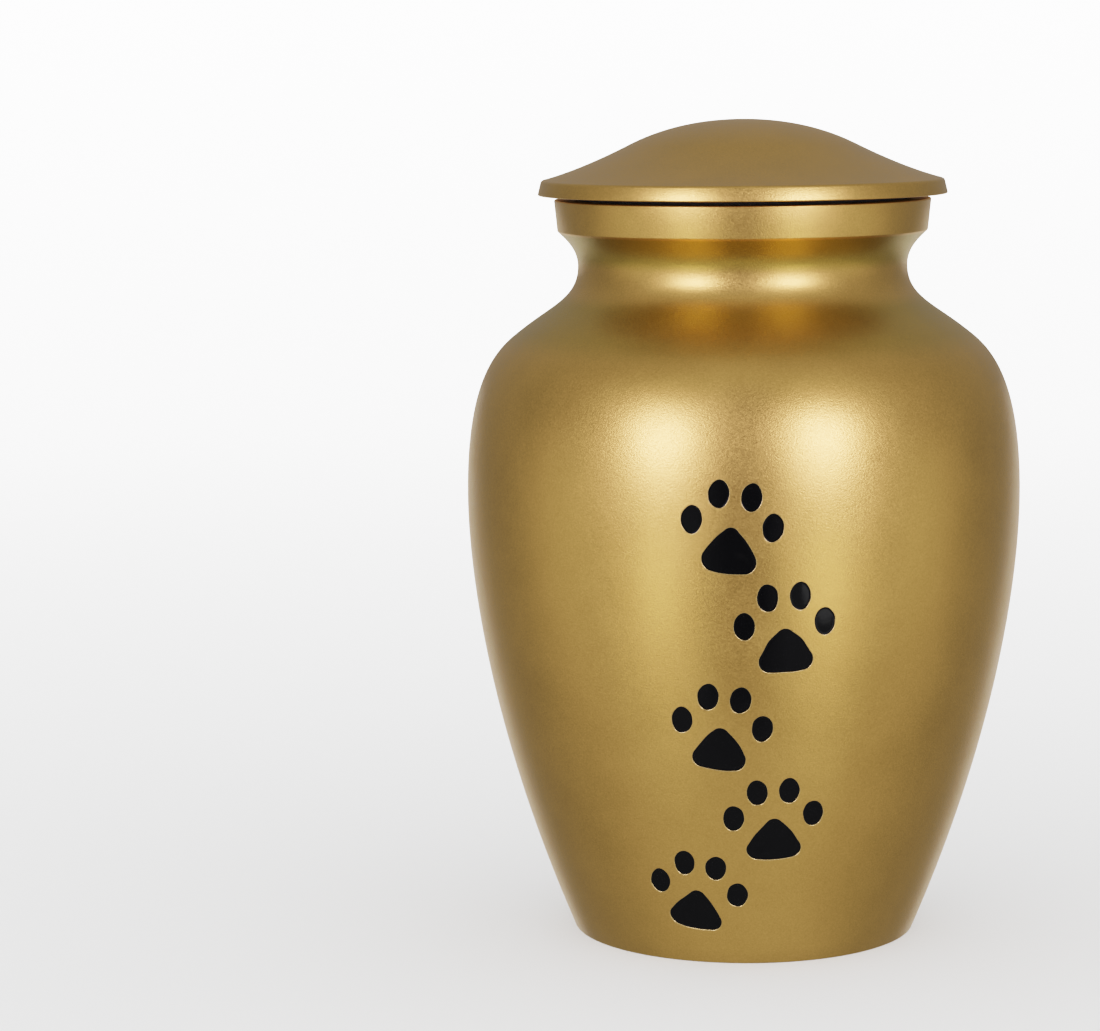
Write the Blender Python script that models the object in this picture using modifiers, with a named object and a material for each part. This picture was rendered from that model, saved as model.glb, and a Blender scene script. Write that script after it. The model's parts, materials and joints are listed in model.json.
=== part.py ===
# Cremation urn: a hollow turned vessel with a lift-off lid and a trail of enamelled paw prints.
# Metres, +Z up. The origin is the centre of the underside, and the prints face -Y.

import math

import bmesh
import bpy
from mathutils import Matrix, Vector
from mathutils.geometry import interpolate_bezier

# Vessel, from the ground up
FOOT_RADIUS = 0.0534
BELLY_RADIUS = 0.0862
BELLY_HEIGHT = 0.138
SHOULDER_RISE = 0.051        # from the belly up to where the shoulder turns over into the neck
SHOULDER_SHARE = 0.51        # how far out the turn is, between the waist and the belly
SHOULDER_LEAN = math.radians(52)   # the wall's lean from upright at the turn
NECK_RISE = 0.020            # from the turn up to the waist of the neck
WAIST_RADIUS = 0.0511
COVE_RISE = 0.0108           # from the waist up to the collar's lower edge
COLLAR_STEP = 0.0063         # how far the collar's lower edge stands out from the waist
COLLAR_HEIGHT = 0.0097
COLLAR_FLARE = 0.001         # how much wider the collar's top is than its lower edge
COLLAR_CHAMFER = 0.0004
WALL = 0.002
FLOOR = 0.0022
FOOT_RING = 0.009            # width of the flat ring that it stands on
BASE_RECESS = 0.002          # height of the hollow inside that ring

# Lid
LID_WALL = 0.002
RIM_OVERHANG = 0.0051        # how far the rim stands out from the collar's top
RIM_HEIGHT = 0.0045
RIM_SLANT = 0.0011           # how much narrower the rim's top is than its lower edge
RIM_CHAMFER = 0.0004
DOME_HEIGHT = 0.0186
DOME_TURN_SHARE = 0.564      # where the dome's hollow sweep turns into its cap, as a share of the radius
DOME_TURN_RISE = 0.58        # and as a share of the dome's height
DOME_TURN_SLOPE = math.radians(26.8)
DOME_EDGE_SLOPE = math.radians(14.5)
PLUG_DEPTH = 0.012
PLUG_LEAD = 0.0008           # chamfer that guides the plug into the collar

# Seal and clearances
SEAL_WIDTH = 0.0029
SEAL_THICKNESS = 0.0008
PLUG_CLEARANCE = 0.0004      # between the plug and the collar's bore
TOUCH_GAP = 0.0003           # between pieces that touch on the real object

# Paw prints: the recess and the enamel in it
PRINT_DEPTH = 0.001
ENAMEL_DROP = 0.0002         # from the wall's surface down to the enamel's top
CUTTER_RISE = 0.001          # how far a cutter stands proud of the wall

# One print, in shares of its width across the outer toes
PRINT_WIDTH = 0.030
TOE_HALF_WIDTH = 0.102
TOE_HALF_HEIGHT = 0.137
INNER_TOE = (0.160, 0.578)   # centre: across from the pad's middle, and up
OUTER_TOE = (0.398, 0.303)
TOE_SPLAY = math.radians(2)
PAD_APEX = (0.180, 0.087)    # centre of the rounded top above the pad's middle, and its radius
PAD_BASE = (0.155, -0.063, 0.113)   # centre of the right-hand corner, across and up, and its radius

# The trail: how far up the wall from the foot and how far right of the front each pad's middle is,
# in print widths, and how far the print is turned to the left
TRAIL = (
    (0.603, -0.480, math.radians(-9)),
    (1.447, 0.307, math.radians(3)),
    (2.453, -0.233, math.radians(-6)),
    (3.490, 0.420, math.radians(3)),
    (4.490, -0.133, math.radians(-6)),
)

# Facets
TURN_STEPS = 44
MERGE = 0.00001
WALL_DETAIL = (8, 7, 6, 4)   # points along the wall's four stretches
TRACE_DETAIL = (60, 40, 20, 10)
DOME_DETAIL = (5, 7)         # points along the dome's two stretches
CEILING_DETAIL = (3, 5)
TOE_SIDES = 12
PAD_CORNER_FACETS = 3
PAD_SIDE_CUTS = 2

# What follows from the sizes above
BORE_RADIUS = WAIST_RADIUS - WALL
SHOULDER_RADIUS = WAIST_RADIUS + SHOULDER_SHARE * (BELLY_RADIUS - WAIST_RADIUS)
SHOULDER_HEIGHT = BELLY_HEIGHT + SHOULDER_RISE
WAIST_HEIGHT = SHOULDER_HEIGHT + NECK_RISE
COLLAR_FOOT_RADIUS = WAIST_RADIUS + COLLAR_STEP
COLLAR_FOOT_HEIGHT = WAIST_HEIGHT + COVE_RISE
COLLAR_TOP_RADIUS = COLLAR_FOOT_RADIUS + COLLAR_FLARE
COLLAR_TOP_HEIGHT = COLLAR_FOOT_HEIGHT + COLLAR_HEIGHT
FLOOR_HEIGHT = BASE_RECESS + FLOOR
SEAL_HEIGHT = COLLAR_TOP_HEIGHT + TOUCH_GAP
LID_HEIGHT = SEAL_HEIGHT + SEAL_THICKNESS + TOUCH_GAP
PLUG_RADIUS = BORE_RADIUS - PLUG_CLEARANCE
RIM_RADIUS = COLLAR_TOP_RADIUS + RIM_OVERHANG
RIM_TOP_RADIUS = RIM_RADIUS - RIM_SLANT


def clear_scene():
    for thing in list(bpy.data.objects):
        bpy.data.objects.remove(thing, do_unlink=True)


def new_collection(name):
    collection = bpy.data.collections.new(name)
    bpy.context.scene.collection.children.link(collection)
    return collection


def material(name, colour, metallic, roughness):
    made = bpy.data.materials.new(name)
    made.use_nodes = True
    shader = made.node_tree.nodes["Principled BSDF"]
    shader.inputs["Base Color"].default_value = (*colour, 1)
    shader.inputs["Metallic"].default_value = metallic
    shader.inputs["Roughness"].default_value = roughness
    made.diffuse_color = (*colour, 1)
    return made


def satin_gold():
    return material("satin_gold", (0.56, 0.39, 0.14), 1.0, 0.35)


def black_enamel():
    return material("black_enamel", (0.01, 0.01, 0.01), 0.0, 0.15)


def seal_rubber():
    return material("seal_rubber", (0.02, 0.02, 0.02), 0.0, 0.7)


# Outlines are (radius, height) points

def stretch(start, leaving, arriving, end, detail):
    # One smooth curve. The two handles are given from the ends that they belong to.
    points = [start, start + leaving, end + arriving, end]
    return interpolate_bezier(*(point.to_3d() for point in points), detail)


def joined(stretches):
    # Stretches end to end, each meeting point once
    points = [stretches[0][0]]
    for part in stretches:
        points += part[1:]
    return [point.to_2d() for point in points]


def outside_wall(detail):
    # The vessel's outside, from the foot up to the collar's lower edge
    foot = Vector((FOOT_RADIUS, 0))
    belly = Vector((BELLY_RADIUS, BELLY_HEIGHT))
    turn = Vector((SHOULDER_RADIUS, SHOULDER_HEIGHT))
    waist = Vector((WAIST_RADIUS, WAIST_HEIGHT))
    collar = Vector((COLLAR_FOOT_RADIUS, COLLAR_FOOT_HEIGHT))
    lean = Vector((-math.sin(SHOULDER_LEAN), math.cos(SHOULDER_LEAN)))
    up = Vector((0, 1))
    flank, shoulder, neck, cove = belly - foot, turn - belly, waist - turn, collar - waist
    return joined([
        stretch(foot, flank * Vector((0.92, 0.52)), up * -0.11 * flank.y, belly, detail[0]),
        stretch(belly, up * 0.76 * shoulder.y, lean * -0.148 * shoulder.length, turn, detail[1]),
        stretch(turn, lean * 0.46 * neck.length, up * -0.49 * neck.y, waist, detail[2]),
        stretch(waist, up * 0.485 * cove.y, cove * Vector((-0.386, -0.217)), collar, detail[3]),
    ])


def moved_in(points, distance):
    # The same line, this far to the left of the way that it runs
    moved = []
    for index, point in enumerate(points):
        before = points[max(index - 1, 0)]
        after = points[min(index + 1, len(points) - 1)]
        way = (after - before).normalized()
        moved.append(point + Vector((-way.y, way.x)) * distance)
    return moved


def crossing(points, axis, value):
    # Where a line passes this radius (axis 0) or height (axis 1), on its way up through it
    for low, high in zip(points, points[1:]):
        if low[axis] <= value < high[axis]:
            return low.lerp(high, (value - low[axis]) / (high[axis] - low[axis]))


def body_outline():
    floor_edge = crossing(moved_in(outside_wall(TRACE_DETAIL), WALL), 1, FLOOR_HEIGHT)
    lining = [point for point in moved_in(outside_wall(WALL_DETAIL), WALL)
              if FLOOR_HEIGHT + WALL < point.y <= WAIST_HEIGHT]
    ring_inside = FOOT_RADIUS - FOOT_RING
    return (
        [Vector((0, FLOOR_HEIGHT)), floor_edge]
        + lining
        + [Vector((BORE_RADIUS, COLLAR_TOP_HEIGHT)),
           Vector((COLLAR_TOP_RADIUS - COLLAR_CHAMFER, COLLAR_TOP_HEIGHT)),
           Vector((COLLAR_TOP_RADIUS, COLLAR_TOP_HEIGHT - COLLAR_CHAMFER))]
        + outside_wall(WALL_DETAIL)[::-1]
        + [Vector((ring_inside, 0)),
           Vector((ring_inside - BASE_RECESS, BASE_RECESS)),
           Vector((0, BASE_RECESS))]
    )


def dome(detail):
    # The lid's top, from the middle out to the rim, above the lid's underside
    top = Vector((0, RIM_HEIGHT + DOME_HEIGHT))
    edge = Vector((RIM_TOP_RADIUS, RIM_HEIGHT))
    turn = Vector((RIM_TOP_RADIUS * DOME_TURN_SHARE, RIM_HEIGHT + DOME_HEIGHT * DOME_TURN_RISE))
    fall = Vector((math.cos(DOME_TURN_SLOPE), -math.sin(DOME_TURN_SLOPE)))
    ease = Vector((math.cos(DOME_EDGE_SLOPE), -math.sin(DOME_EDGE_SLOPE)))
    cap, sweep = turn - top, edge - turn
    return joined([
        stretch(top, Vector((0.30 * cap.length, 0)), fall * -0.37 * cap.length, turn, detail[1]),
        stretch(turn, fall * 0.27 * sweep.length, ease * -0.34 * sweep.length, edge, detail[0]),
    ])


def lid_outline():
    hollow = PLUG_RADIUS - LID_WALL
    corner = crossing(moved_in(dome(TRACE_DETAIL), -LID_WALL), 0, hollow)
    ceiling = [point for point in moved_in(dome(CEILING_DETAIL), -LID_WALL)
               if point.x < hollow - LID_WALL]
    ceiling[0].x = 0
    return (
        dome(DOME_DETAIL)
        + [Vector((RIM_RADIUS, RIM_CHAMFER)),
           Vector((RIM_RADIUS - RIM_CHAMFER, 0)),
           Vector((PLUG_RADIUS, 0)),
           Vector((PLUG_RADIUS, PLUG_LEAD - PLUG_DEPTH)),
           Vector((PLUG_RADIUS - PLUG_LEAD, -PLUG_DEPTH)),
           Vector((hollow, -PLUG_DEPTH)),
           corner]
        + ceiling[::-1]
    )


def seal_outline():
    inside = PLUG_RADIUS + TOUCH_GAP
    return [Vector((inside, SEAL_THICKNESS)), Vector((inside + SEAL_WIDTH, SEAL_THICKNESS)),
            Vector((inside + SEAL_WIDTH, 0)), Vector((inside, 0))]


def turned(name, outline, height, closed, finish, collection):
    # An outline spun round the upright axis
    mesh = bpy.data.meshes.new(name)
    verts = [(point.x, 0, point.y) for point in outline]
    edges = [(index, index + 1) for index in range(len(outline) - 1)]
    if closed:
        edges.append((len(outline) - 1, 0))
    mesh.from_pydata(verts, edges, [])
    mesh.materials.append(finish)
    made = bpy.data.objects.new(name, mesh)
    made.location.z = height
    collection.objects.link(made)
    screw = made.modifiers.new("turned", "SCREW")
    screw.steps = TURN_STEPS
    screw.render_steps = TURN_STEPS
    screw.use_merge_vertices = True
    screw.merge_threshold = MERGE
    screw.use_smooth_shade = True
    return made


def toe_face(mesh):
    ring = bmesh.ops.create_circle(mesh, cap_ends=True, segments=TOE_SIDES, radius=1)["verts"]
    bmesh.ops.scale(mesh, verts=ring, vec=Vector((TOE_HALF_WIDTH, TOE_HALF_HEIGHT, 1)) * PRINT_WIDTH)


def side_normal(corner, following):
    # The way out of the straight side that touches both corners' circles
    (centre, radius), (next_centre, next_radius) = corner, following
    way = next_centre - centre
    lean = (radius - next_radius) / way.length
    out = Vector((way.y, -way.x)).normalized()
    return way.normalized() * lean + out * math.sqrt(1 - lean ** 2)


def pad_face(mesh):
    # A triangle with rounded corners, drawn as an arc at each corner
    (top, top_radius), (across, up, radius) = PAD_APEX, PAD_BASE
    corners = [(Vector((0, top)), top_radius), (Vector((-across, up)), radius),
               (Vector((across, up)), radius)]
    points = []
    for index, (centre, radius) in enumerate(corners):
        first = side_normal(corners[index - 1], corners[index])
        last = side_normal(corners[index], corners[(index + 1) % len(corners)])
        for facet in range(PAD_CORNER_FACETS + 1):
            points.append(centre + first.slerp(last, facet / PAD_CORNER_FACETS) * radius)
    mesh.faces.new([mesh.verts.new((point * PRINT_WIDTH).to_3d()) for point in points])
    sides = sorted(mesh.edges, key=lambda edge: edge.calc_length())[-len(corners):]
    bmesh.ops.subdivide_edges(mesh, edges=sides, cuts=PAD_SIDE_CUTS)


def shrink(mesh, distance):
    mesh.normal_update()
    rim = bmesh.ops.inset_region(mesh, faces=mesh.faces[:], thickness=distance,
                                 use_boundary=True, use_even_offset=True)
    bmesh.ops.delete(mesh, geom=rim["faces"], context="FACES")


def wall_station(along):
    # The point this far up the outside from the foot, and the way straight out of the wall there
    trace = outside_wall(TRACE_DETAIL)
    for low, high in zip(trace, trace[1:]):
        span = high - low
        if along <= span.length:
            break
        along -= span.length
    return low + span.normalized() * along, Vector((span.y, -span.x)).normalized()


def on_wall(along, across, start_angle, rise):
    # A point of the wall, this far across from the upright line at start_angle, raised by rise
    point, out = wall_station(along)
    angle = start_angle + across / point.x
    raised = point + out * rise
    return Vector((raised.x * math.sin(angle), -raised.x * math.cos(angle), raised.y))


def wrapped(name, face, shift, turn, place, top, bottom, margin, finish, collection):
    # A flat outline made a slab, laid on the wall in its place in a print
    along, right, tilt = place
    along, right = along * PRINT_WIDTH, right * PRINT_WIDTH
    start_angle = right / wall_station(along)[0].x
    mesh = bmesh.new()
    face(mesh)
    if margin:
        shrink(mesh, margin)
    bmesh.ops.poke(mesh, faces=mesh.faces[:])
    bmesh.ops.translate(mesh, verts=mesh.verts[:], vec=(0, 0, top))
    lower = bmesh.ops.extrude_face_region(mesh, geom=mesh.faces[:], use_keep_orig=True)["geom"]
    lower = [item for item in lower if isinstance(item, bmesh.types.BMVert)]
    bmesh.ops.translate(mesh, verts=lower, vec=(0, 0, bottom - top))
    bmesh.ops.rotate(mesh, verts=mesh.verts[:], matrix=Matrix.Rotation(turn, 3, "Z"))
    bmesh.ops.translate(mesh, verts=mesh.verts[:], vec=(*(Vector(shift) * PRINT_WIDTH), 0))
    bmesh.ops.rotate(mesh, verts=mesh.verts[:], matrix=Matrix.Rotation(tilt, 3, "Z"))
    middle = on_wall(along + shift[1] * PRINT_WIDTH, shift[0] * PRINT_WIDTH, start_angle, 0)
    for vert in mesh.verts:
        across, up, rise = vert.co
        vert.co = on_wall(along + up, across, start_angle, rise) - middle
    bmesh.ops.triangulate(mesh, faces=mesh.faces[:])
    bmesh.ops.recalc_face_normals(mesh, faces=mesh.faces[:])
    data = bpy.data.meshes.new(name)
    mesh.to_mesh(data)
    mesh.free()
    data.materials.append(finish)
    made = bpy.data.objects.new(name, data)
    made.location = middle
    collection.objects.link(made)
    return made


def print_shapes():
    # Name, outline, centre and turn of each hollow in one print, toes from left to right
    shapes = [("pad", pad_face, (0, 0), 0)]
    toes = [(-1, OUTER_TOE), (-1, INNER_TOE), (1, INNER_TOE), (1, OUTER_TOE)]
    for number, (side, (across, up)) in enumerate(toes, 1):
        shapes.append((f"toe_{number}", toe_face, (side * across, up), -side * TOE_SPLAY))
    return shapes


def paw_print(number, place, enamel, parts, cutters):
    for label, face, shift, turn in print_shapes():
        name = f"paw_{number}_{label}"
        cutter = wrapped(f"{name}_cutter", face, shift, turn, place,
                         CUTTER_RISE, -PRINT_DEPTH, 0, enamel, cutters)
        cutter.hide_render = True
        cutter.display_type = "WIRE"
        wrapped(name, face, shift, turn, place,
                -ENAMEL_DROP, TOUCH_GAP - PRINT_DEPTH, TOUCH_GAP, enamel, parts)


def build():
    clear_scene()
    parts = new_collection("cremation_urn")
    cutters = new_collection("cutters")
    gold, enamel, rubber = satin_gold(), black_enamel(), seal_rubber()
    body = turned("urn_body", body_outline(), 0, False, gold, parts)
    for number, place in enumerate(TRAIL, 1):
        paw_print(number, place, enamel, parts, cutters)
    cut = body.modifiers.new("paw recesses", "BOOLEAN")
    cut.operation = "DIFFERENCE"
    cut.operand_type = "COLLECTION"
    cut.collection = cutters
    cut.solver = "EXACT"
    turned("lid_seal", seal_outline(), SEAL_HEIGHT, True, rubber, parts)
    turned("lid", lid_outline(), LID_HEIGHT, False, gold, parts)


build()
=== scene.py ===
import json
import math

import bmesh
import bpy
import numpy as np
from mathutils import Matrix, Vector, noise
from mathutils.geometry import interpolate_bezier

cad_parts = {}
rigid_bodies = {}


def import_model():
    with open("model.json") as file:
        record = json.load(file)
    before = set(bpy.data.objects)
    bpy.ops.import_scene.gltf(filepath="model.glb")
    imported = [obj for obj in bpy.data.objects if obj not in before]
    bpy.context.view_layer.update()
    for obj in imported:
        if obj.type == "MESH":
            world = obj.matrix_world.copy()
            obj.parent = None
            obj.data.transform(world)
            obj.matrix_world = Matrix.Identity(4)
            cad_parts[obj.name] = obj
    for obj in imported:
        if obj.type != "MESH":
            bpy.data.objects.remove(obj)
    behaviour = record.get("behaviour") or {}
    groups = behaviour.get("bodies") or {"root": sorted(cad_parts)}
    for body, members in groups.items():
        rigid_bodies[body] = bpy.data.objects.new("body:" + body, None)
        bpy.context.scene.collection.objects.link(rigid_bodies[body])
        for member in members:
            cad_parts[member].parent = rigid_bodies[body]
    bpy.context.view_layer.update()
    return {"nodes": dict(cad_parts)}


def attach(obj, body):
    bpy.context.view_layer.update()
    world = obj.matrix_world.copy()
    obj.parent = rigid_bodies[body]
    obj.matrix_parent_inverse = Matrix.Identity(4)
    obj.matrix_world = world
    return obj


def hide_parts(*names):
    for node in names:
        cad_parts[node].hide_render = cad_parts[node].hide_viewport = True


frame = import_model()
print("frame loaded:", len(frame["nodes"]), "nodes")

# Metres, +Z up. The urn is turned round the Z axis and its paw prints face -Y.
# Outlines are (radius, height) points.

sharpEdge = math.radians(38)       # edges that turn more than this stay sharp
weldDistance = 0.000002            # points nearer than this are one
cornerSteps = 4                    # flat strips in a rounded corner


def stretch(start, leaving, arriving, end, count):
    points = [start, start + leaving, end + arriving, end]
    return [point.to_2d() for point in interpolate_bezier(*(p.to_3d() for p in points), count)]


def joined(stretches):
    points = stretches[0][:1]
    for part in stretches:
        points += part[1:]
    return points


def movedIn(points, distance):
    # The same line, this far to the left of the way that it runs
    moved = []
    for index, point in enumerate(points):
        way = (points[min(index + 1, len(points) - 1)] - points[max(index - 1, 0)]).normalized()
        moved.append(point + Vector((-way.y, way.x)) * distance)
    return moved


def crossing(points, axis, value):
    for low, high in zip(points, points[1:]):
        if low[axis] <= value < high[axis]:
            return low.lerp(high, (value - low[axis]) / (high[axis] - low[axis]))


def turned(outline, corners, steps):
    # An outline spun round Z, with corners[index] the rounding of that point
    bm = bmesh.new()
    verts = [bm.verts.new((point.x, 0, point.y)) for point in outline]
    closing = [] if outline[0].x == 0 else [(verts[-1], verts[0])]
    for pair in list(zip(verts, verts[1:])) + closing:
        bm.edges.new(pair)
    for radius in sorted(set(corners.values())):
        rounded = [verts[index] for index, size in corners.items() if size == radius]
        bmesh.ops.bevel(bm, geom=rounded, offset=radius, offset_type="OFFSET", segments=cornerSteps,
                        profile=0.5, affect="VERTICES", material=-1, clamp_overlap=True)
    bmesh.ops.spin(bm, geom=bm.verts[:] + bm.edges[:], cent=(0, 0, 0), axis=(0, 0, 1),
                   angle=math.tau, steps=steps, use_merge=True)
    bmesh.ops.remove_doubles(bm, verts=bm.verts[:], dist=weldDistance)
    bmesh.ops.recalc_face_normals(bm, faces=bm.faces[:])
    return bm


def finished(name, bm, finishes):
    for face in bm.faces:
        face.smooth = True
    mesh = bpy.data.meshes.new(name)
    bm.to_mesh(mesh)
    bm.free()
    for finish in finishes:
        mesh.materials.append(finish)
    mesh.set_sharp_from_angle(angle=sharpEdge)
    made = bpy.data.objects.new(name, mesh)
    bpy.context.scene.collection.objects.link(made)
    return made


def place(piece, slot, *nodes):
    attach(piece, "root")
    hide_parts(*nodes)


# Shader helpers

def node(tree, kind, **values):
    # A new node. Names that aren't its own settings are its input sockets.
    made = tree.nodes.new("ShaderNode" + kind)
    for name, value in values.items():
        if hasattr(made, name):
            setattr(made, name, value)
        else:
            made.inputs[name.replace("_", " ")].default_value = value
    return made


def math2(tree, operation, first, second=None):
    made = node(tree, "Math", operation=operation)
    for socket, value in zip(made.inputs, (first, second)):
        if isinstance(value, bpy.types.NodeSocket):
            tree.links.new(value, socket)
        elif value is not None:
            socket.default_value = value
    return made.outputs[0]


def group(name, inputs, outputs):
    tree = bpy.data.node_groups.new(name, "ShaderNodeTree")
    for label, value in inputs.items():
        socket = tree.interface.new_socket(label, in_out="INPUT", socket_type="NodeSocketFloat")
        socket.default_value = value
    for label in outputs:
        tree.interface.new_socket(label, in_out="OUTPUT", socket_type="NodeSocketFloat")
    return tree, tree.nodes.new("NodeGroupInput").outputs, tree.nodes.new("NodeGroupOutput").inputs


def useGroup(tree, groupTree, **values):
    made = tree.nodes.new("ShaderNodeGroup")
    made.node_tree = groupTree
    for name, value in values.items():
        made.inputs[name].default_value = value
    return made


def turningMarks():
    # Fine lines that follow the turning, wherever the wall faces: noise on the direction round the
    # axis, and on height and radius, so that it has no seam and works on flat faces too
    tree, inputs, outputs = group("turningMarks", {"Length": 9.0, "Spacing": 0.0004}, ["Lines"])
    links = tree.links.new
    where = node(tree, "TexCoord").outputs["Object"]
    split = node(tree, "SeparateXYZ")
    links(where, split.inputs[0])
    flat = node(tree, "CombineXYZ")
    links(split.outputs["X"], flat.inputs["X"])
    links(split.outputs["Y"], flat.inputs["Y"])
    way = node(tree, "VectorMath", operation="NORMALIZE")
    links(flat.outputs[0], way.inputs[0])
    radius = node(tree, "VectorMath", operation="LENGTH")
    links(flat.outputs[0], radius.inputs[0])
    around = node(tree, "VectorMath", operation="SCALE")
    links(way.outputs["Vector"], around.inputs["Vector"])
    links(inputs["Length"], around.inputs["Scale"])
    heightLines = math2(tree, "DIVIDE", split.outputs["Z"], inputs["Spacing"])
    radiusLines = math2(tree, "DIVIDE", radius.outputs["Value"], inputs["Spacing"])
    upright = node(tree, "CombineXYZ")
    links(heightLines, upright.inputs["Z"])
    mixed = node(tree, "VectorMath", operation="ADD")
    links(around.outputs[0], mixed.inputs[0])
    links(upright.outputs[0], mixed.inputs[1])
    lines = node(tree, "TexNoise", noise_dimensions="4D", Scale=1.0, Detail=3.0, Roughness=0.65)
    links(mixed.outputs[0], lines.inputs["Vector"])
    links(radiusLines, lines.inputs["W"])
    links(lines.outputs["Fac"], outputs["Lines"])
    return tree


def fineGrain():
    # The even grain of a blasted, polished or moulded surface
    tree, inputs, outputs = group("fineGrain", {"Size": 0.0004}, ["Grain"])
    links = tree.links.new
    bigger = math2(tree, "DIVIDE", 1.0, inputs["Size"])
    grain = node(tree, "TexNoise", Detail=2.0, Roughness=0.6)
    links(node(tree, "TexCoord").outputs["Object"], grain.inputs["Vector"])
    links(bigger, grain.inputs["Scale"])
    links(grain.outputs["Fac"], outputs["Grain"])
    return tree


marks, grains = turningMarks(), fineGrain()


def newMaterial(name):
    made = bpy.data.materials.new(name)
    made.use_nodes = True
    return made, made.node_tree, made.node_tree.nodes["Principled BSDF"]


def bumped(tree, shader, height, depth):
    bump = node(tree, "Bump", Strength=1.0, Distance=depth)
    tree.links.new(height, bump.inputs["Height"])
    tree.links.new(bump.outputs[0], shader.inputs["Normal"])


def colourBetween(tree, amount, low, high):
    mix = node(tree, "Mix", data_type="RGBA")
    mix.inputs[6].default_value = (*low, 1)
    mix.inputs[7].default_value = (*high, 1)
    tree.links.new(amount, mix.inputs[0])
    return mix.outputs[2]


def levels(tree, value, fromLow, fromHigh, toLow, toHigh):
    made = node(tree, "MapRange", From_Min=fromLow, From_Max=fromHigh, To_Min=toLow, To_Max=toHigh)
    tree.links.new(value, made.inputs["Value"])
    return made.outputs[0]


def blend(tree, first, second, share):
    # Two values in one, with this share of the second
    return math2(tree, "ADD", math2(tree, "MULTIPLY", first, 1 - share),
                 math2(tree, "MULTIPLY", second, share))


def surface(tree, shader, finish, amount, shade):
    # The finish's colours by the shade, and its roughness by the amount
    colour = colourBetween(tree, shade, finish["dark"], finish["light"])
    tree.links.new(colour, shader.inputs["Base Color"])
    tree.links.new(levels(tree, amount, *finish["contrast"], *finish["roughness"]), shader.inputs["Roughness"])


gold = {
    "dark": (0.500, 0.305, 0.088),
    "light": (0.645, 0.398, 0.122),
    "roughness": (0.29, 0.43),
    "streakLength": 110.5,             # streaks round the urn: the more, the shorter
    "streakSpacing": 0.0005,
    "grainSize": 0.0005,
    "grainShare": 0.45,                # the rest is streaks
    "cloudSize": 0.02,
    "cloudShare": 0.2,
    "contrast": (0.35, 0.65),
    "markDepth": 0.00008,
    # Height on the urn and how much painted shade darkens the colour there, in the neck's two hollows
    "paintedShade": ((0.183, 0), (0.190, 0.5), (0.197, 0.65), (0.2015, 0),
               (0.2085, 0), (0.2125, 0.8), (0.2188, 1), (0.2196, 0)),
    # The tint that the painted shade in the hollows multiplies the gold by
    "paintedShadeTint": (0.70, 0.80, 0.55),
}


def satinGold():
    made, tree, shader = newMaterial("satinGold")
    lines = useGroup(tree, marks, Length=gold["streakLength"], Spacing=gold["streakSpacing"]).outputs[0]
    grain = useGroup(tree, grains, Size=gold["grainSize"]).outputs[0]
    cloud = useGroup(tree, grains, Size=gold["cloudSize"]).outputs[0]
    both = blend(tree, lines, grain, gold["grainShare"])
    tone = blend(tree, both, cloud, gold["cloudShare"])
    shade = levels(tree, tone, *gold["contrast"], 0, 1)
    colour = colourBetween(tree, shade, gold["dark"], gold["light"])
    # The base colour carries painted shade in the neck's two hollows
    tree.links.new(paintedShade(tree, colour), shader.inputs["Base Color"])
    tree.links.new(levels(tree, tone, *gold["contrast"], *gold["roughness"]), shader.inputs["Roughness"])
    shader.inputs["Metallic"].default_value = 1
    bumped(tree, shader, both, gold["markDepth"])
    return made


# Painted shade: the gold is darkened and tinted by height in the neck's two hollows, where shade falls
def paintedShade(tree, colour):
    low, high = gold["paintedShade"][0][0], gold["paintedShade"][-1][0]
    split = node(tree, "SeparateXYZ")
    tree.links.new(node(tree, "TexCoord").outputs["Object"], split.inputs[0])
    ramp = node(tree, "ValToRGB")
    tree.links.new(levels(tree, split.outputs["Z"], low, high, 0, 1), ramp.inputs["Fac"])
    ramp.color_ramp.interpolation = "EASE"
    stops = ramp.color_ramp.elements
    while len(stops) < len(gold["paintedShade"]):
        stops.new(0.5)
    for stop, (height, amount) in zip(stops, gold["paintedShade"]):
        stop.position = (height - low) / (high - low)
        stop.color = (amount, amount, amount, 1)
    mix = node(tree, "Mix", data_type="RGBA", blend_type="MULTIPLY")
    tree.links.new(ramp.outputs["Color"], mix.inputs[0])
    tree.links.new(colour, mix.inputs[6])
    mix.inputs[7].default_value = (*gold["paintedShadeTint"], 1)
    return mix.outputs[2]


cutEdge = {
    "dark": (0.52, 0.37, 0.14),
    "light": (0.66, 0.49, 0.22),
    "roughness": (0.26, 0.38),
    "contrast": (0.3, 0.7),
    "chatterSize": 0.0002,
    "chatterDepth": 0.00001,
}


def cutBrass():
    # The bright edge that the engraver's cutter leaves round each hollow
    made, tree, shader = newMaterial("cutBrass")
    chatter = useGroup(tree, grains, Size=cutEdge["chatterSize"]).outputs[0]
    surface(tree, shader, cutEdge, chatter, levels(tree, chatter, *cutEdge["contrast"], 0, 1))
    shader.inputs["Metallic"].default_value = 1
    bumped(tree, shader, chatter, cutEdge["chatterDepth"])
    return made


bareMetal = {
    "dark": (0.36, 0.25, 0.10),
    "light": (0.47, 0.34, 0.15),
    "roughness": (0.42, 0.58),
    "contrast": (0.3, 0.7),
    "streakLength": 5.0,
    "streakSpacing": 0.0011,
    "cloudSize": 0.012,
    "cloudShare": 0.4,
    "markDepth": 0.00003,
}


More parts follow.
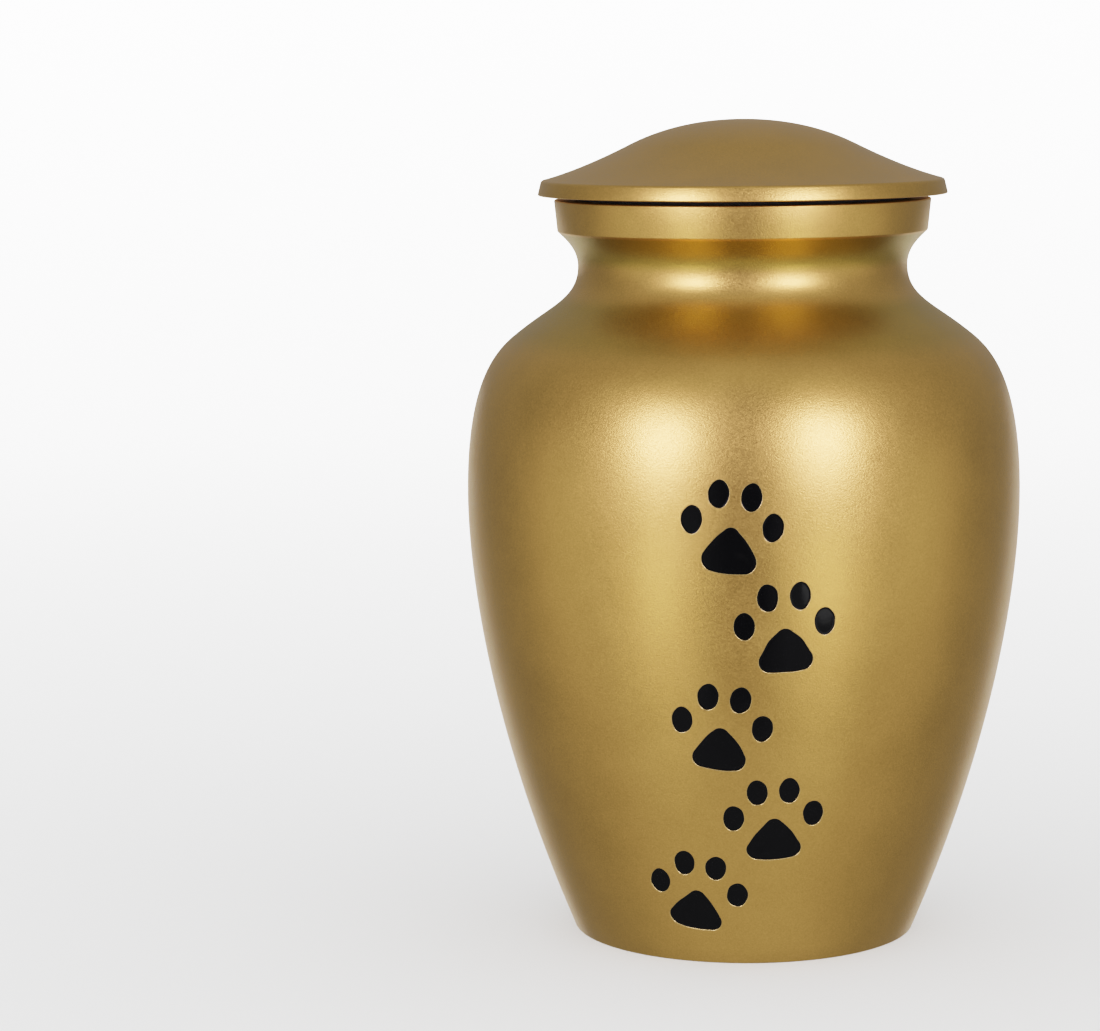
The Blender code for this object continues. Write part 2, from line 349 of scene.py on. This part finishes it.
def bareBrass():
    # Inside the urn and lid and under the foot, where the metal is only turned
    made, tree, shader = newMaterial("bareBrass")
    lines = useGroup(tree, marks, Length=bareMetal["streakLength"],
                     Spacing=bareMetal["streakSpacing"]).outputs[0]
    cloud = useGroup(tree, grains, Size=bareMetal["cloudSize"]).outputs[0]
    tone = blend(tree, lines, cloud, bareMetal["cloudShare"])
    surface(tree, shader, bareMetal, tone, levels(tree, tone, *bareMetal["contrast"], 0, 1))
    shader.inputs["Metallic"].default_value = 1
    bumped(tree, shader, lines, bareMetal["markDepth"])
    return made


enamel = {
    "dark": (0.0006, 0.0006, 0.0007),
    "light": (0.0016, 0.0016, 0.0018),
    "roughness": (0.08, 0.14),
    "contrast": (0.3, 0.7),
    "speckSize": 0.0003,
    "rippleSize": 0.0022,
    "rippleDepth": 0.000012,
    "gloss": 0.09,
}


def blackEnamel():
    made, tree, shader = newMaterial("blackEnamel")
    ripple = useGroup(tree, grains, Size=enamel["rippleSize"]).outputs[0]
    speck = useGroup(tree, grains, Size=enamel["speckSize"]).outputs[0]
    surface(tree, shader, enamel, speck, speck)
    shader.inputs["Specular IOR Level"].default_value = enamel["gloss"]
    bumped(tree, shader, ripple, enamel["rippleDepth"])
    return made


rubber = {
    "dark": (0.006, 0.006, 0.006),
    "light": (0.016, 0.016, 0.017),
    "roughness": (0.62, 0.8),
    "contrast": (0.3, 0.7),
    "grainSize": 0.0003,
    "lineLength": 4.0,
    "lineSpacing": 0.0003,
    "lineDepth": 0.00002,
}


def sealRubber():
    made, tree, shader = newMaterial("sealRubber")
    grain = useGroup(tree, grains, Size=rubber["grainSize"]).outputs[0]
    lines = useGroup(tree, marks, Length=rubber["lineLength"], Spacing=rubber["lineSpacing"]).outputs[0]
    surface(tree, shader, rubber, grain, grain)
    bumped(tree, shader, lines, rubber["lineDepth"])
    return made


finishes = {"gold": satinGold(), "brass": bareBrass(), "cut": cutBrass(),
            "enamel": blackEnamel(), "rubber": sealRubber()}
print("finishes made")

vessel = {
    "footRadius": 0.0534,
    "bellyRadius": 0.0862,
    "bellyHeight": 0.138,
    "shoulder": (0.0690, 0.189),      # where the shoulder turns over into the neck
    "shoulderLean": math.radians(52),
    "waist": (0.0511, 0.209),
    "collar": (0.0574, 0.2198),       # the collar's lower edge
    "collarTop": (0.0584, 0.2295),
    "wall": 0.002,
    "floorHeight": 0.0042,
    "footRing": 0.009,
    "baseRecess": 0.002,
    "steps": 256,
    "fineCount": (44, 34, 26, 14),    # points on the outside's four stretches, foot to collar
    "coarseCount": (22, 18, 14, 8),   # the same on the lining
    "traceCount": (200, 140, 90, 50),
    # How far the curves of the wall run on along their end directions, in shares of each stretch
    "flankPull": (Vector((0.92, 0.52)), Vector((0, -0.11))),
    "shoulderPull": (0.76, -0.148),
    "neckPull": (0.46, -0.49),
    "covePull": (0.485, Vector((-0.386, -0.217))),
}


def outsideWall(count):
    # The outside from the foot to the collar, with this many points on each of its four stretches
    foot = Vector((vessel["footRadius"], 0))
    belly = Vector((vessel["bellyRadius"], vessel["bellyHeight"]))
    turn, waist, collar = (Vector(vessel[name]) for name in ("shoulder", "waist", "collar"))
    lean = Vector((-math.sin(vessel["shoulderLean"]), math.cos(vessel["shoulderLean"])))
    up = Vector((0, 1))
    flank, shoulder, neck, cove = belly - foot, turn - belly, waist - turn, collar - waist
    flankPull, shoulderPull, neckPull, covePull = (
        vessel[name] for name in ("flankPull", "shoulderPull", "neckPull", "covePull"))
    return joined([
        stretch(foot, flank * flankPull[0], flank * flankPull[1], belly, count[0]),
        stretch(belly, up * shoulderPull[0] * shoulder.y, lean * shoulderPull[1] * shoulder.length,
                turn, count[1]),
        stretch(turn, lean * neckPull[0] * neck.length, up * neckPull[1] * neck.y, waist, count[2]),
        stretch(waist, up * covePull[0] * cove.y, cove * covePull[1], collar, count[3]),
    ])


# The wall as the prints use it, with its direction at each point and its length from the foot
trace = np.array(outsideWall(vessel["traceCount"]))
traceSteps = np.gradient(trace, axis=0)
traceWay = traceSteps / np.linalg.norm(traceSteps, axis=1)[:, None]
traceLength = np.concatenate([[0], np.cumsum(np.linalg.norm(np.diff(trace, axis=0), axis=1))])


def onWall(along, across, startAngle, rise):
    # Points of the wall, this far up it and this far across from the upright line at startAngle
    radius, height, wayX, wayY = (np.interp(along, traceLength, column)
                                  for column in (*trace.T, *traceWay.T))
    angle = startAngle + across / radius
    out = radius + wayY * rise
    return np.stack([out * np.sin(angle), -out * np.cos(angle), height - wayX * rise], axis=1)


def vesselBlank():
    wall, floor = vessel["wall"], vessel["floorHeight"]
    fine = outsideWall(vessel["fineCount"])
    coarse = movedIn(outsideWall(vessel["coarseCount"]), wall)
    floorEdge = crossing(movedIn(outsideWall(vessel["traceCount"]), wall), 1, floor)
    lining = [point for point in coarse if floor + wall < point.y <= vessel["waist"][1]]
    topRadius, topHeight = vessel["collarTop"]
    bore, ring = vessel["waist"][0] - wall, vessel["footRadius"] - vessel["footRing"]
    outline = [Vector((0, floor)), floorEdge, *lining, Vector((bore, topHeight)),
               Vector((topRadius, topHeight)), *fine[::-1], Vector((ring, 0)),
               Vector((ring - vessel["baseRecess"], vessel["baseRecess"])),
               Vector((0, vessel["baseRecess"]))]
    top = 2 + len(lining)
    foot = top + 1 + len(fine)
    corners = {1: 0.0015, top: 0.0004, top + 1: 0.0004, top + 2: 0.0002,
               foot: 0.0004, foot + 1: 0.0003, foot + 2: 0.0006}
    bm = turned(outline, corners, vessel["steps"])
    for face in bm.faces:      # the lining and the hollow under the foot
        middle = face.calc_center_median()
        radius = math.hypot(middle.x, middle.y)
        outside = np.interp(middle.z, trace[:, 1], trace[:, 0])
        inside = radius < outside - wall / 2 and 0.0001 < middle.z < topHeight - 0.0002
        face.material_index = 1 if inside else 0
    return finished("urn_body_turned", bm, (finishes["gold"], finishes["brass"]))


prints = {
    "width": 0.030,
    "toe": (0.102, 0.137),            # half width and half height, in shares of the print's width
    "innerToe": (0.160, 0.578),
    "outerToe": (0.398, 0.303),
    "toeSplay": math.radians(2),
    "padApex": (0.180, 0.087),
    "padBase": (0.155, -0.063, 0.113),
    "padBulge": 0.012,
    "toePoints": 48,
    "cornerSteps": 10,
    "sideSteps": 9,
    "unevenness": 0.05,
    "unevenWaves": 1.5,
    "trail": (                        # up the wall, right of the front, tilt to the left
        (0.603, -0.480, math.radians(-9)),
        (1.447, 0.307, math.radians(3)),
        (2.453, -0.233, math.radians(-6)),
        (3.490, 0.420, math.radians(3)),
        (4.490, -0.133, math.radians(-6)),
    ),
    # How far out from the hollow's side, and how far up from the wall, in millimetres
    "cutSection": ((0.5, 1.0), (0.5, 0.14), (0.22, 0.0), (0.1, -0.06), (0.03, -0.14), (0, -0.25),
                   (0, -1.0)),
    "enamelSection": ((0.01, -0.98), (0.01, -0.17), (-0.06, -0.2), (-0.16, -0.23), (-0.34, -0.25),
                      (-0.7, -0.24), (-1.2, -0.22)),
}


def toeOutline():
    halfWidth, halfHeight = prints["toe"]
    angles = np.linspace(0, math.tau, prints["toePoints"], endpoint=False)
    return np.stack([halfWidth * np.cos(angles), halfHeight * np.sin(angles)], axis=1)


def padOutline():
    # A triangle of three round corners, joined by the lines that touch two of them
    (top, topRadius), (across, up, radius) = prints["padApex"], prints["padBase"]
    corners = [(Vector((across, up)), radius), (Vector((0, top)), topRadius), (Vector((-across, up)), radius)]
    steps = prints["cornerSteps"]
    points = []
    for index, (centre, size) in enumerate(corners):
        normals = []
        for start, end in ((corners[index - 1], corners[index]), (corners[index], corners[(index + 1) % 3])):
            way = end[0] - start[0]
            lean = (start[1] - end[1]) / way.length
            aside = Vector((way.y, -way.x)).normalized()
            normals.append(way.normalized() * lean + aside * math.sqrt(1 - lean ** 2))
        arc = [centre + normals[0].slerp(normals[1], step / steps) * size for step in range(steps + 1)]
        if points:
            points += sideBetween(points[-1], arc[0])
        points += arc
    points += sideBetween(points[-1], points[0])
    return np.array(points)


def sideBetween(start, end):
    # The slightly bulging side of a pad, without its ends
    way = end - start
    out = Vector((way.y, -way.x)).normalized() * prints["padBulge"]
    shares = [step / prints["sideSteps"] for step in range(1, prints["sideSteps"])]
    return [start + way * share + out * 4 * share * (1 - share) for share in shares]


def printShapes():
    shapes = [("pad", padOutline(), (0, 0), 0)]
    outer, inner = prints["outerToe"], prints["innerToe"]
    toes = [(-1, outer), (-1, inner), (1, inner), (1, outer)]
    for number, (side, (across, up)) in enumerate(toes, 1):
        shapes.append((f"toe_{number}", toeOutline(), (side * across, up), -side * prints["toeSplay"]))
    return shapes


def handCut(outline, seed):
    # A little unevenness, as from an engraver's hand
    size = np.linalg.norm(outline, axis=1)
    waves = prints["unevenWaves"]
    uneven = [noise.noise(Vector((x / s * waves + seed * 7.3, y / s * waves, seed * 3.1)))
              for (x, y), s in zip(outline, size)]
    return outline * (1 + prints["unevenness"] * np.array(uneven))[:, None]


def grown(outline, distance):
    way = np.roll(outline, -1, axis=0) - np.roll(outline, 1, axis=0)
    way /= np.linalg.norm(way, axis=1)[:, None]
    return outline + np.stack([way[:, 1], -way[:, 0]], axis=1) * distance


def layered(outline, section, shift, turn, placeOnWall):
    # Closed loops of the outline, one for each step of the section, bridged, capped and laid on the wall
    width = prints["width"]
    along, right, tilt = placeOnWall
    startAngle = right * width / np.interp(along * width, traceLength, trace[:, 0])
    spin = np.array(Matrix.Rotation(turn, 2)).T
    lean = np.array(Matrix.Rotation(tilt, 2)).T
    bm = bmesh.new()
    loops = []
    for out, rise in section:
        flat = (grown(outline * width, out / 1000) @ spin + np.array(shift) * width) @ lean
        points = onWall(along * width + flat[:, 1], flat[:, 0], startAngle, rise / 1000)
        verts = [bm.verts.new(point) for point in points]
        loops.append([bm.edges.new(pair) for pair in zip(verts, verts[1:] + verts[:1])])
        if len(loops) > 1:
            bmesh.ops.bridge_loops(bm, edges=loops[-2] + loops[-1])
    caps = [bm.faces.new([edge.verts[0] for edge in loop]) for loop in (loops[0], loops[-1])]
    bmesh.ops.poke(bm, faces=caps)
    bmesh.ops.recalc_face_normals(bm, faces=bm.faces[:])
    return bm


def body():
    made = vesselBlank()
    print("vessel turned:", len(made.data.polygons), "faces")
    cutters = bpy.data.collections.new("cutters")
    pieces = []
    for number, where in enumerate(prints["trail"], 1):
        for label, outline, shift, turn in printShapes():
            name = f"paw_{number}_{label}"
            edge = handCut(outline, number * 10 + len(pieces))
            cutter = finished(name + "_cutter", layered(edge, prints["cutSection"], shift, turn, where),
                              [finishes["cut"]])
            bpy.context.scene.collection.objects.unlink(cutter)
            cutters.objects.link(cutter)
            filling = finished(name + "_enamel", layered(edge, prints["enamelSection"], shift, turn, where),
                               [finishes["enamel"]])
            place(filling, "black_enamel", name)
            pieces.append(filling)
    bpy.context.scene.collection.children.link(cutters)
    cut = made.modifiers.new("paw hollows", "BOOLEAN")
    cut.operation, cut.operand_type, cut.solver = "DIFFERENCE", "COLLECTION", "EXACT"
    cut.collection = cutters
    cut.material_mode = "TRANSFER"
    graph = bpy.context.evaluated_depsgraph_get()
    mesh = bpy.data.meshes.new_from_object(made.evaluated_get(graph))
    made.modifiers.clear()
    made.data = mesh
    for cutter in list(cutters.objects):
        bpy.data.objects.remove(cutter)
    bpy.data.collections.remove(cutters)
    smoothWall(mesh)
    place(made, "satin_gold", "urn_body")
    print("prints cut:", len(mesh.polygons), "faces")


def smoothWall(mesh):
    # The cuts leave odd-shaped faces in the wall, so its normals are set from its outline
    mesh.set_sharp_from_angle(angle=sharpEdge)
    corner = np.array([item.vector for item in mesh.corner_normals])
    vertexOf = np.zeros(len(mesh.loops), int)
    mesh.loops.foreach_get("vertex_index", vertexOf)
    points = np.zeros(len(mesh.vertices) * 3)
    mesh.vertices.foreach_get("co", points)
    points = points.reshape(-1, 3)[vertexOf]
    radius = np.hypot(points[:, 0], points[:, 1])
    outside = np.interp(points[:, 2], trace[:, 1], trace[:, 0])
    height = points[:, 2]
    onOutside = (abs(radius - outside) < 0.00003) & (height > 0.001) & (height < vessel["collar"][1] - 0.0004)
    wayX, wayY = (np.interp(points[:, 2], trace[:, 1], column) for column in traceWay.T)
    safe = np.maximum(radius, 0.001)
    true = np.stack([wayY * points[:, 0] / safe, wayY * points[:, 1] / safe, -wayX], axis=1)
    corner[onOutside] = true[onOutside]
    mesh.normals_split_custom_set([tuple(normal) for normal in corner])


lid = {
    "height": 0.2309,
    "plugRadius": 0.0487,
    "plugDepth": 0.012,
    "plugLead": 0.0008,
    "wall": 0.002,
    "rimRadius": 0.0635,
    "rimTop": (0.0624, 0.0045),
    "domeHeight": 0.0186,
    "turnShare": 0.564,
    "turnRise": 0.58,
    "turnSlope": math.radians(26.8),
    "edgeSlope": math.radians(14.5),
    "capPull": (0.30, -0.37),          # shares, as in the vessel
    "sweepPull": (0.27, -0.34),
    "steps": 256,
}


def dome(count):
    edge = Vector(lid["rimTop"])
    top = Vector((0, edge.y + lid["domeHeight"]))
    turn = Vector((edge.x * lid["turnShare"], edge.y + lid["domeHeight"] * lid["turnRise"]))
    fall = Vector((math.cos(lid["turnSlope"]), -math.sin(lid["turnSlope"])))
    ease = Vector((math.cos(lid["edgeSlope"]), -math.sin(lid["edgeSlope"])))
    cap, sweep = turn - top, edge - turn
    return joined([
        stretch(top, Vector((lid["capPull"][0] * cap.length, 0)), fall * lid["capPull"][1] * cap.length,
                turn, count),
        stretch(turn, fall * lid["sweepPull"][0] * sweep.length, ease * lid["sweepPull"][1] * sweep.length,
                edge, count),
    ])


def domedLid():
    wall, plug = lid["wall"], lid["plugRadius"]
    hollow = plug - wall
    corner = crossing(movedIn(dome(40), -wall), 0, hollow)
    ceiling = [point for point in movedIn(dome(14), -wall) if point.x < hollow - wall]
    ceiling[0].x = 0
    top = dome(30)
    outline = [*top, Vector((lid["rimRadius"], 0)), Vector((plug, 0)),
               Vector((plug, lid["plugLead"] - lid["plugDepth"])),
               Vector((plug - lid["plugLead"], -lid["plugDepth"])),
               Vector((hollow, -lid["plugDepth"])), corner, *ceiling[::-1]]
    rim = len(top) - 1
    corners = {rim: 0.0006, rim + 1: 0.0004, rim + 2: 0.0003, rim + 3: 0.0002,
               rim + 4: 0.0002, rim + 5: 0.0003, rim + 6: 0.001}
    bm = turned([point + Vector((0, lid["height"])) for point in outline], corners, lid["steps"])
    for face in bm.faces:      # the hollow of the plug and the underside of the dome
        middle = face.calc_center_median()
        radius = math.hypot(middle.x, middle.y)
        aboveLead = middle.z > lid["height"] - lid["plugDepth"] + 0.0003
        inside = radius < hollow + 0.0002 and face.normal.z < 0.5 and (radius < hollow - 0.0001 or aboveLead)
        face.material_index = 1 if inside else 0
    made = finished("lid_turned", bm, (finishes["gold"], finishes["brass"]))
    place(made, "satin_gold", "lid")
    print("lid turned:", len(made.data.polygons), "faces")


seal = {"inside": 0.0490, "outside": 0.0519, "bottom": 0.2295, "top": 0.2309, "lean": 0.0002, "steps": 192}


def sealRing():
    inside, outside = seal["inside"], seal["outside"]
    bottom, top = seal["bottom"], seal["top"]
    edge = outside - seal["lean"]
    outline = [Vector((inside, top)), Vector((edge, top)), Vector((outside, (top + bottom) / 2)),
               Vector((edge, bottom)), Vector((inside, bottom))]
    bm = turned(outline, {0: 0.0002, 1: 0.0002, 2: 0.0003, 3: 0.0002, 4: 0.0002}, seal["steps"])
    made = finished("lid_seal_ring", bm, [finishes["rubber"]])
    place(made, "seal_rubber", "lid_seal")
    print("seal turned:", len(made.data.polygons), "faces")


body()
domedLid()
sealRing()

studio = {
    "lens": 112.5,
    "cameraPlace": (0, -1.0721, 0.2722),
    "cameraTurn": (math.radians(3.236), math.radians(7.529), math.radians(-0.528)),   # left, down, roll
    "target": (0, 0, 0.13),
    "floorRadius": 3.0,
    "floorRise": 3.0,
    "floorCurve": 1.6,
    "floorColour": 0.5,
    "floorGlow": (0.2, 2.1),           # what is added at the middle and at the edge
    "boxDistance": 1.4,
    # One of each on either side: degrees from the front, elevation, width, height, brightness, colour
    "boxes": (
        ("softbox", 33, 16, 0.54, 0.64, 8.2, (1, 0.94, 1.35)),
        ("high", 28, 42, 0.9, 0.6, 0.12, (1, 1, 1)),
        ("low", 34, -17, 0.44, 0.28, 3.1, (1, 1, 1)),
        ("side", 80, -8, 0.8, 0.9, 0.28, (1, 1, 1)),
        ("back", 157, -14, 0.6, 0.8, 0.75, (1, 1, 1)),
    ),
    "room": (0.29, 0.26, 0.41),        # brightness below, at eye level and above
    "front": (0.33, 0.09),             # added in front, and below in front
    "frontFade": (-0.9, 0.1),          # what is added in front ends between these, along Y
    "underFade": (-0.35, -0.1),        # and what is added below, along Z
    "gap": (7, 18, 0.2),               # the dark gap between the boxes: from and to degrees, share left
    "gapFade": (-0.75, -0.5),          # it ends between these, along Y
    "gapFoot": (-0.7, -0.45),          # and starts between these, along Z
    # Tones shown: toneTop * rise / (rise + toneMiddle), with rise the light to the power toneSteepness
    "toneTop": 1.104,
    "toneMiddle": 0.444,
    "toneSteepness": 1.256,
    "toneStops": (0.04, 0.08, 0.16, 0.32, 0.6, 1.0, 1.6, 2.4),
    "white": 3.0,
}


def camera():
    left, down, roll = studio["cameraTurn"]
    data = bpy.data.cameras.new("camera")
    data.lens = studio["lens"]
    data.sensor_width = 36
    data.clip_start = 0.01
    made = bpy.data.objects.new("camera", data)
    made.matrix_world = (Matrix.Translation(studio["cameraPlace"]) @ Matrix.Rotation(left, 4, "Z")
                         @ Matrix.Rotation(math.pi / 2 - down, 4, "X") @ Matrix.Rotation(roll, 4, "Z"))
    bpy.context.scene.collection.objects.link(made)
    bpy.context.scene.camera = made


def softbox(name, angle, elevation, width, height, brightness, colour):
    data = bpy.data.lights.new(name, "AREA")
    data.shape = "ELLIPSE"
    data.size, data.size_y = width, height
    data.energy = brightness * math.pi * width * height * math.pi / 4
    data.color = colour
    made = bpy.data.objects.new(name, data)
    angle, elevation = math.radians(angle), math.radians(elevation)
    level = math.cos(elevation)
    way = Vector((math.sin(angle) * level, -math.cos(angle) * level, math.sin(elevation)))
    made.location = Vector(studio["target"]) + way * studio["boxDistance"]
    made.rotation_euler = way.to_track_quat("Z", "Y").to_euler()
    made.visible_camera = False
    made.light_linking.receiver_collection = lit
    bpy.context.scene.collection.objects.link(made)


def sweep():
    # A round floor whose edge curves up into a wall on every side
    radius, rise = studio["floorRadius"], studio["floorRise"]
    outline = [Vector((0, 0)), Vector((radius, 0)), Vector((radius, rise))]
    bm = bmesh.new()
    verts = [bm.verts.new((point.x, 0, point.y)) for point in outline]
    for pair in zip(verts, verts[1:]):
        bm.edges.new(pair)
    bmesh.ops.bevel(bm, geom=[verts[1]], offset=studio["floorCurve"], offset_type="OFFSET", segments=24,
                    profile=0.5, affect="VERTICES", material=-1)
    bmesh.ops.spin(bm, geom=bm.verts[:] + bm.edges[:], cent=(0, 0, 0), axis=(0, 0, 1),
                   angle=math.tau, steps=96, use_merge=True)
    bmesh.ops.remove_doubles(bm, verts=bm.verts[:], dist=0.0001)
    made, tree, shader = newMaterial("paleFloor")
    shader.inputs["Base Color"].default_value = (*[studio["floorColour"]] * 3, 1)
    shader.inputs["Roughness"].default_value = 1
    shader.inputs["Specular IOR Level"].default_value = 0
    away = node(tree, "VectorMath", operation="LENGTH")
    tree.links.new(node(tree, "TexCoord").outputs["Object"], away.inputs[0])
    near, far = studio["floorGlow"]
    glow = levels(tree, away.outputs["Value"], 0, radius, 0, 1)
    tree.links.new(colourBetween(tree, glow, [near] * 3, [far] * 3), shader.inputs["Emission Color"])
    shader.inputs["Emission Strength"].default_value = 1
    ground = finished("studio_floor", bm, [made])
    ground.visible_glossy = False
    ground.visible_shadow = False


def world():
    # The room as the metal sees it: even, lighter in front, with a dark gap where the camera stands
    made = bpy.data.worlds.new("studio")
    bpy.context.scene.world = made
    made.use_nodes = True
    tree = made.node_tree
    where = node(tree, "TexCoord").outputs["Generated"]
    split = node(tree, "SeparateXYZ")
    tree.links.new(where, split.inputs[0])
    below, level, above = studio["room"]
    frontEven, frontUnder = studio["front"]
    up = levels(tree, split.outputs["Z"], 0, 1, level, above)
    down = levels(tree, split.outputs["Z"], -1, 0, below - level, 0)
    front = levels(tree, split.outputs["Y"], *studio["frontFade"], 1, 0)
    under = levels(tree, split.outputs["Z"], *studio["underFade"], frontEven + frontUnder, frontEven)
    room = math2(tree, "ADD", math2(tree, "ADD", up, down), math2(tree, "MULTIPLY", front, under))
    gapFrom, gapTo, gapLeft = studio["gap"]
    aside = math2(tree, "ABSOLUTE", split.outputs["X"])
    gap = levels(tree, aside, math.sin(math.radians(gapFrom)), math.sin(math.radians(gapTo)), 1, 0)
    gap = math2(tree, "MULTIPLY", gap, levels(tree, split.outputs["Y"], *studio["gapFade"], 1, 0))
    gap = math2(tree, "MULTIPLY", gap, levels(tree, split.outputs["Z"], *studio["gapFoot"], 0, 1))
    left = levels(tree, gap, 0, 1, 1, gapLeft)
    tree.links.new(math2(tree, "MULTIPLY", room, left), tree.nodes["Background"].inputs["Color"])


def tones():
    # Bright tones roll off softly, as a camera's do
    view = bpy.context.scene.view_settings
    view.view_transform = "Standard"
    view.use_curve_mapping = True
    view.curve_mapping.white_level = [studio["white"]] * 3
    for light in studio["toneStops"]:
        rise = light ** studio["toneSteepness"]
        shown = studio["toneTop"] * rise / (rise + studio["toneMiddle"])
        view.curve_mapping.curves[3].points.new(light / studio["white"], shown)
    view.curve_mapping.update()


camera()
lit = bpy.data.collections.new("lit")      # the softboxes light the urn alone, so the floor stays even
for piece in bpy.context.scene.objects:
    if piece.type == "MESH":
        lit.objects.link(piece)
for box, angle, *rest in studio["boxes"]:
    softbox(box + "Left", -angle, *rest)
    softbox(box + "Right", angle, *rest)
sweep()
world()
tones()

print("studio set")
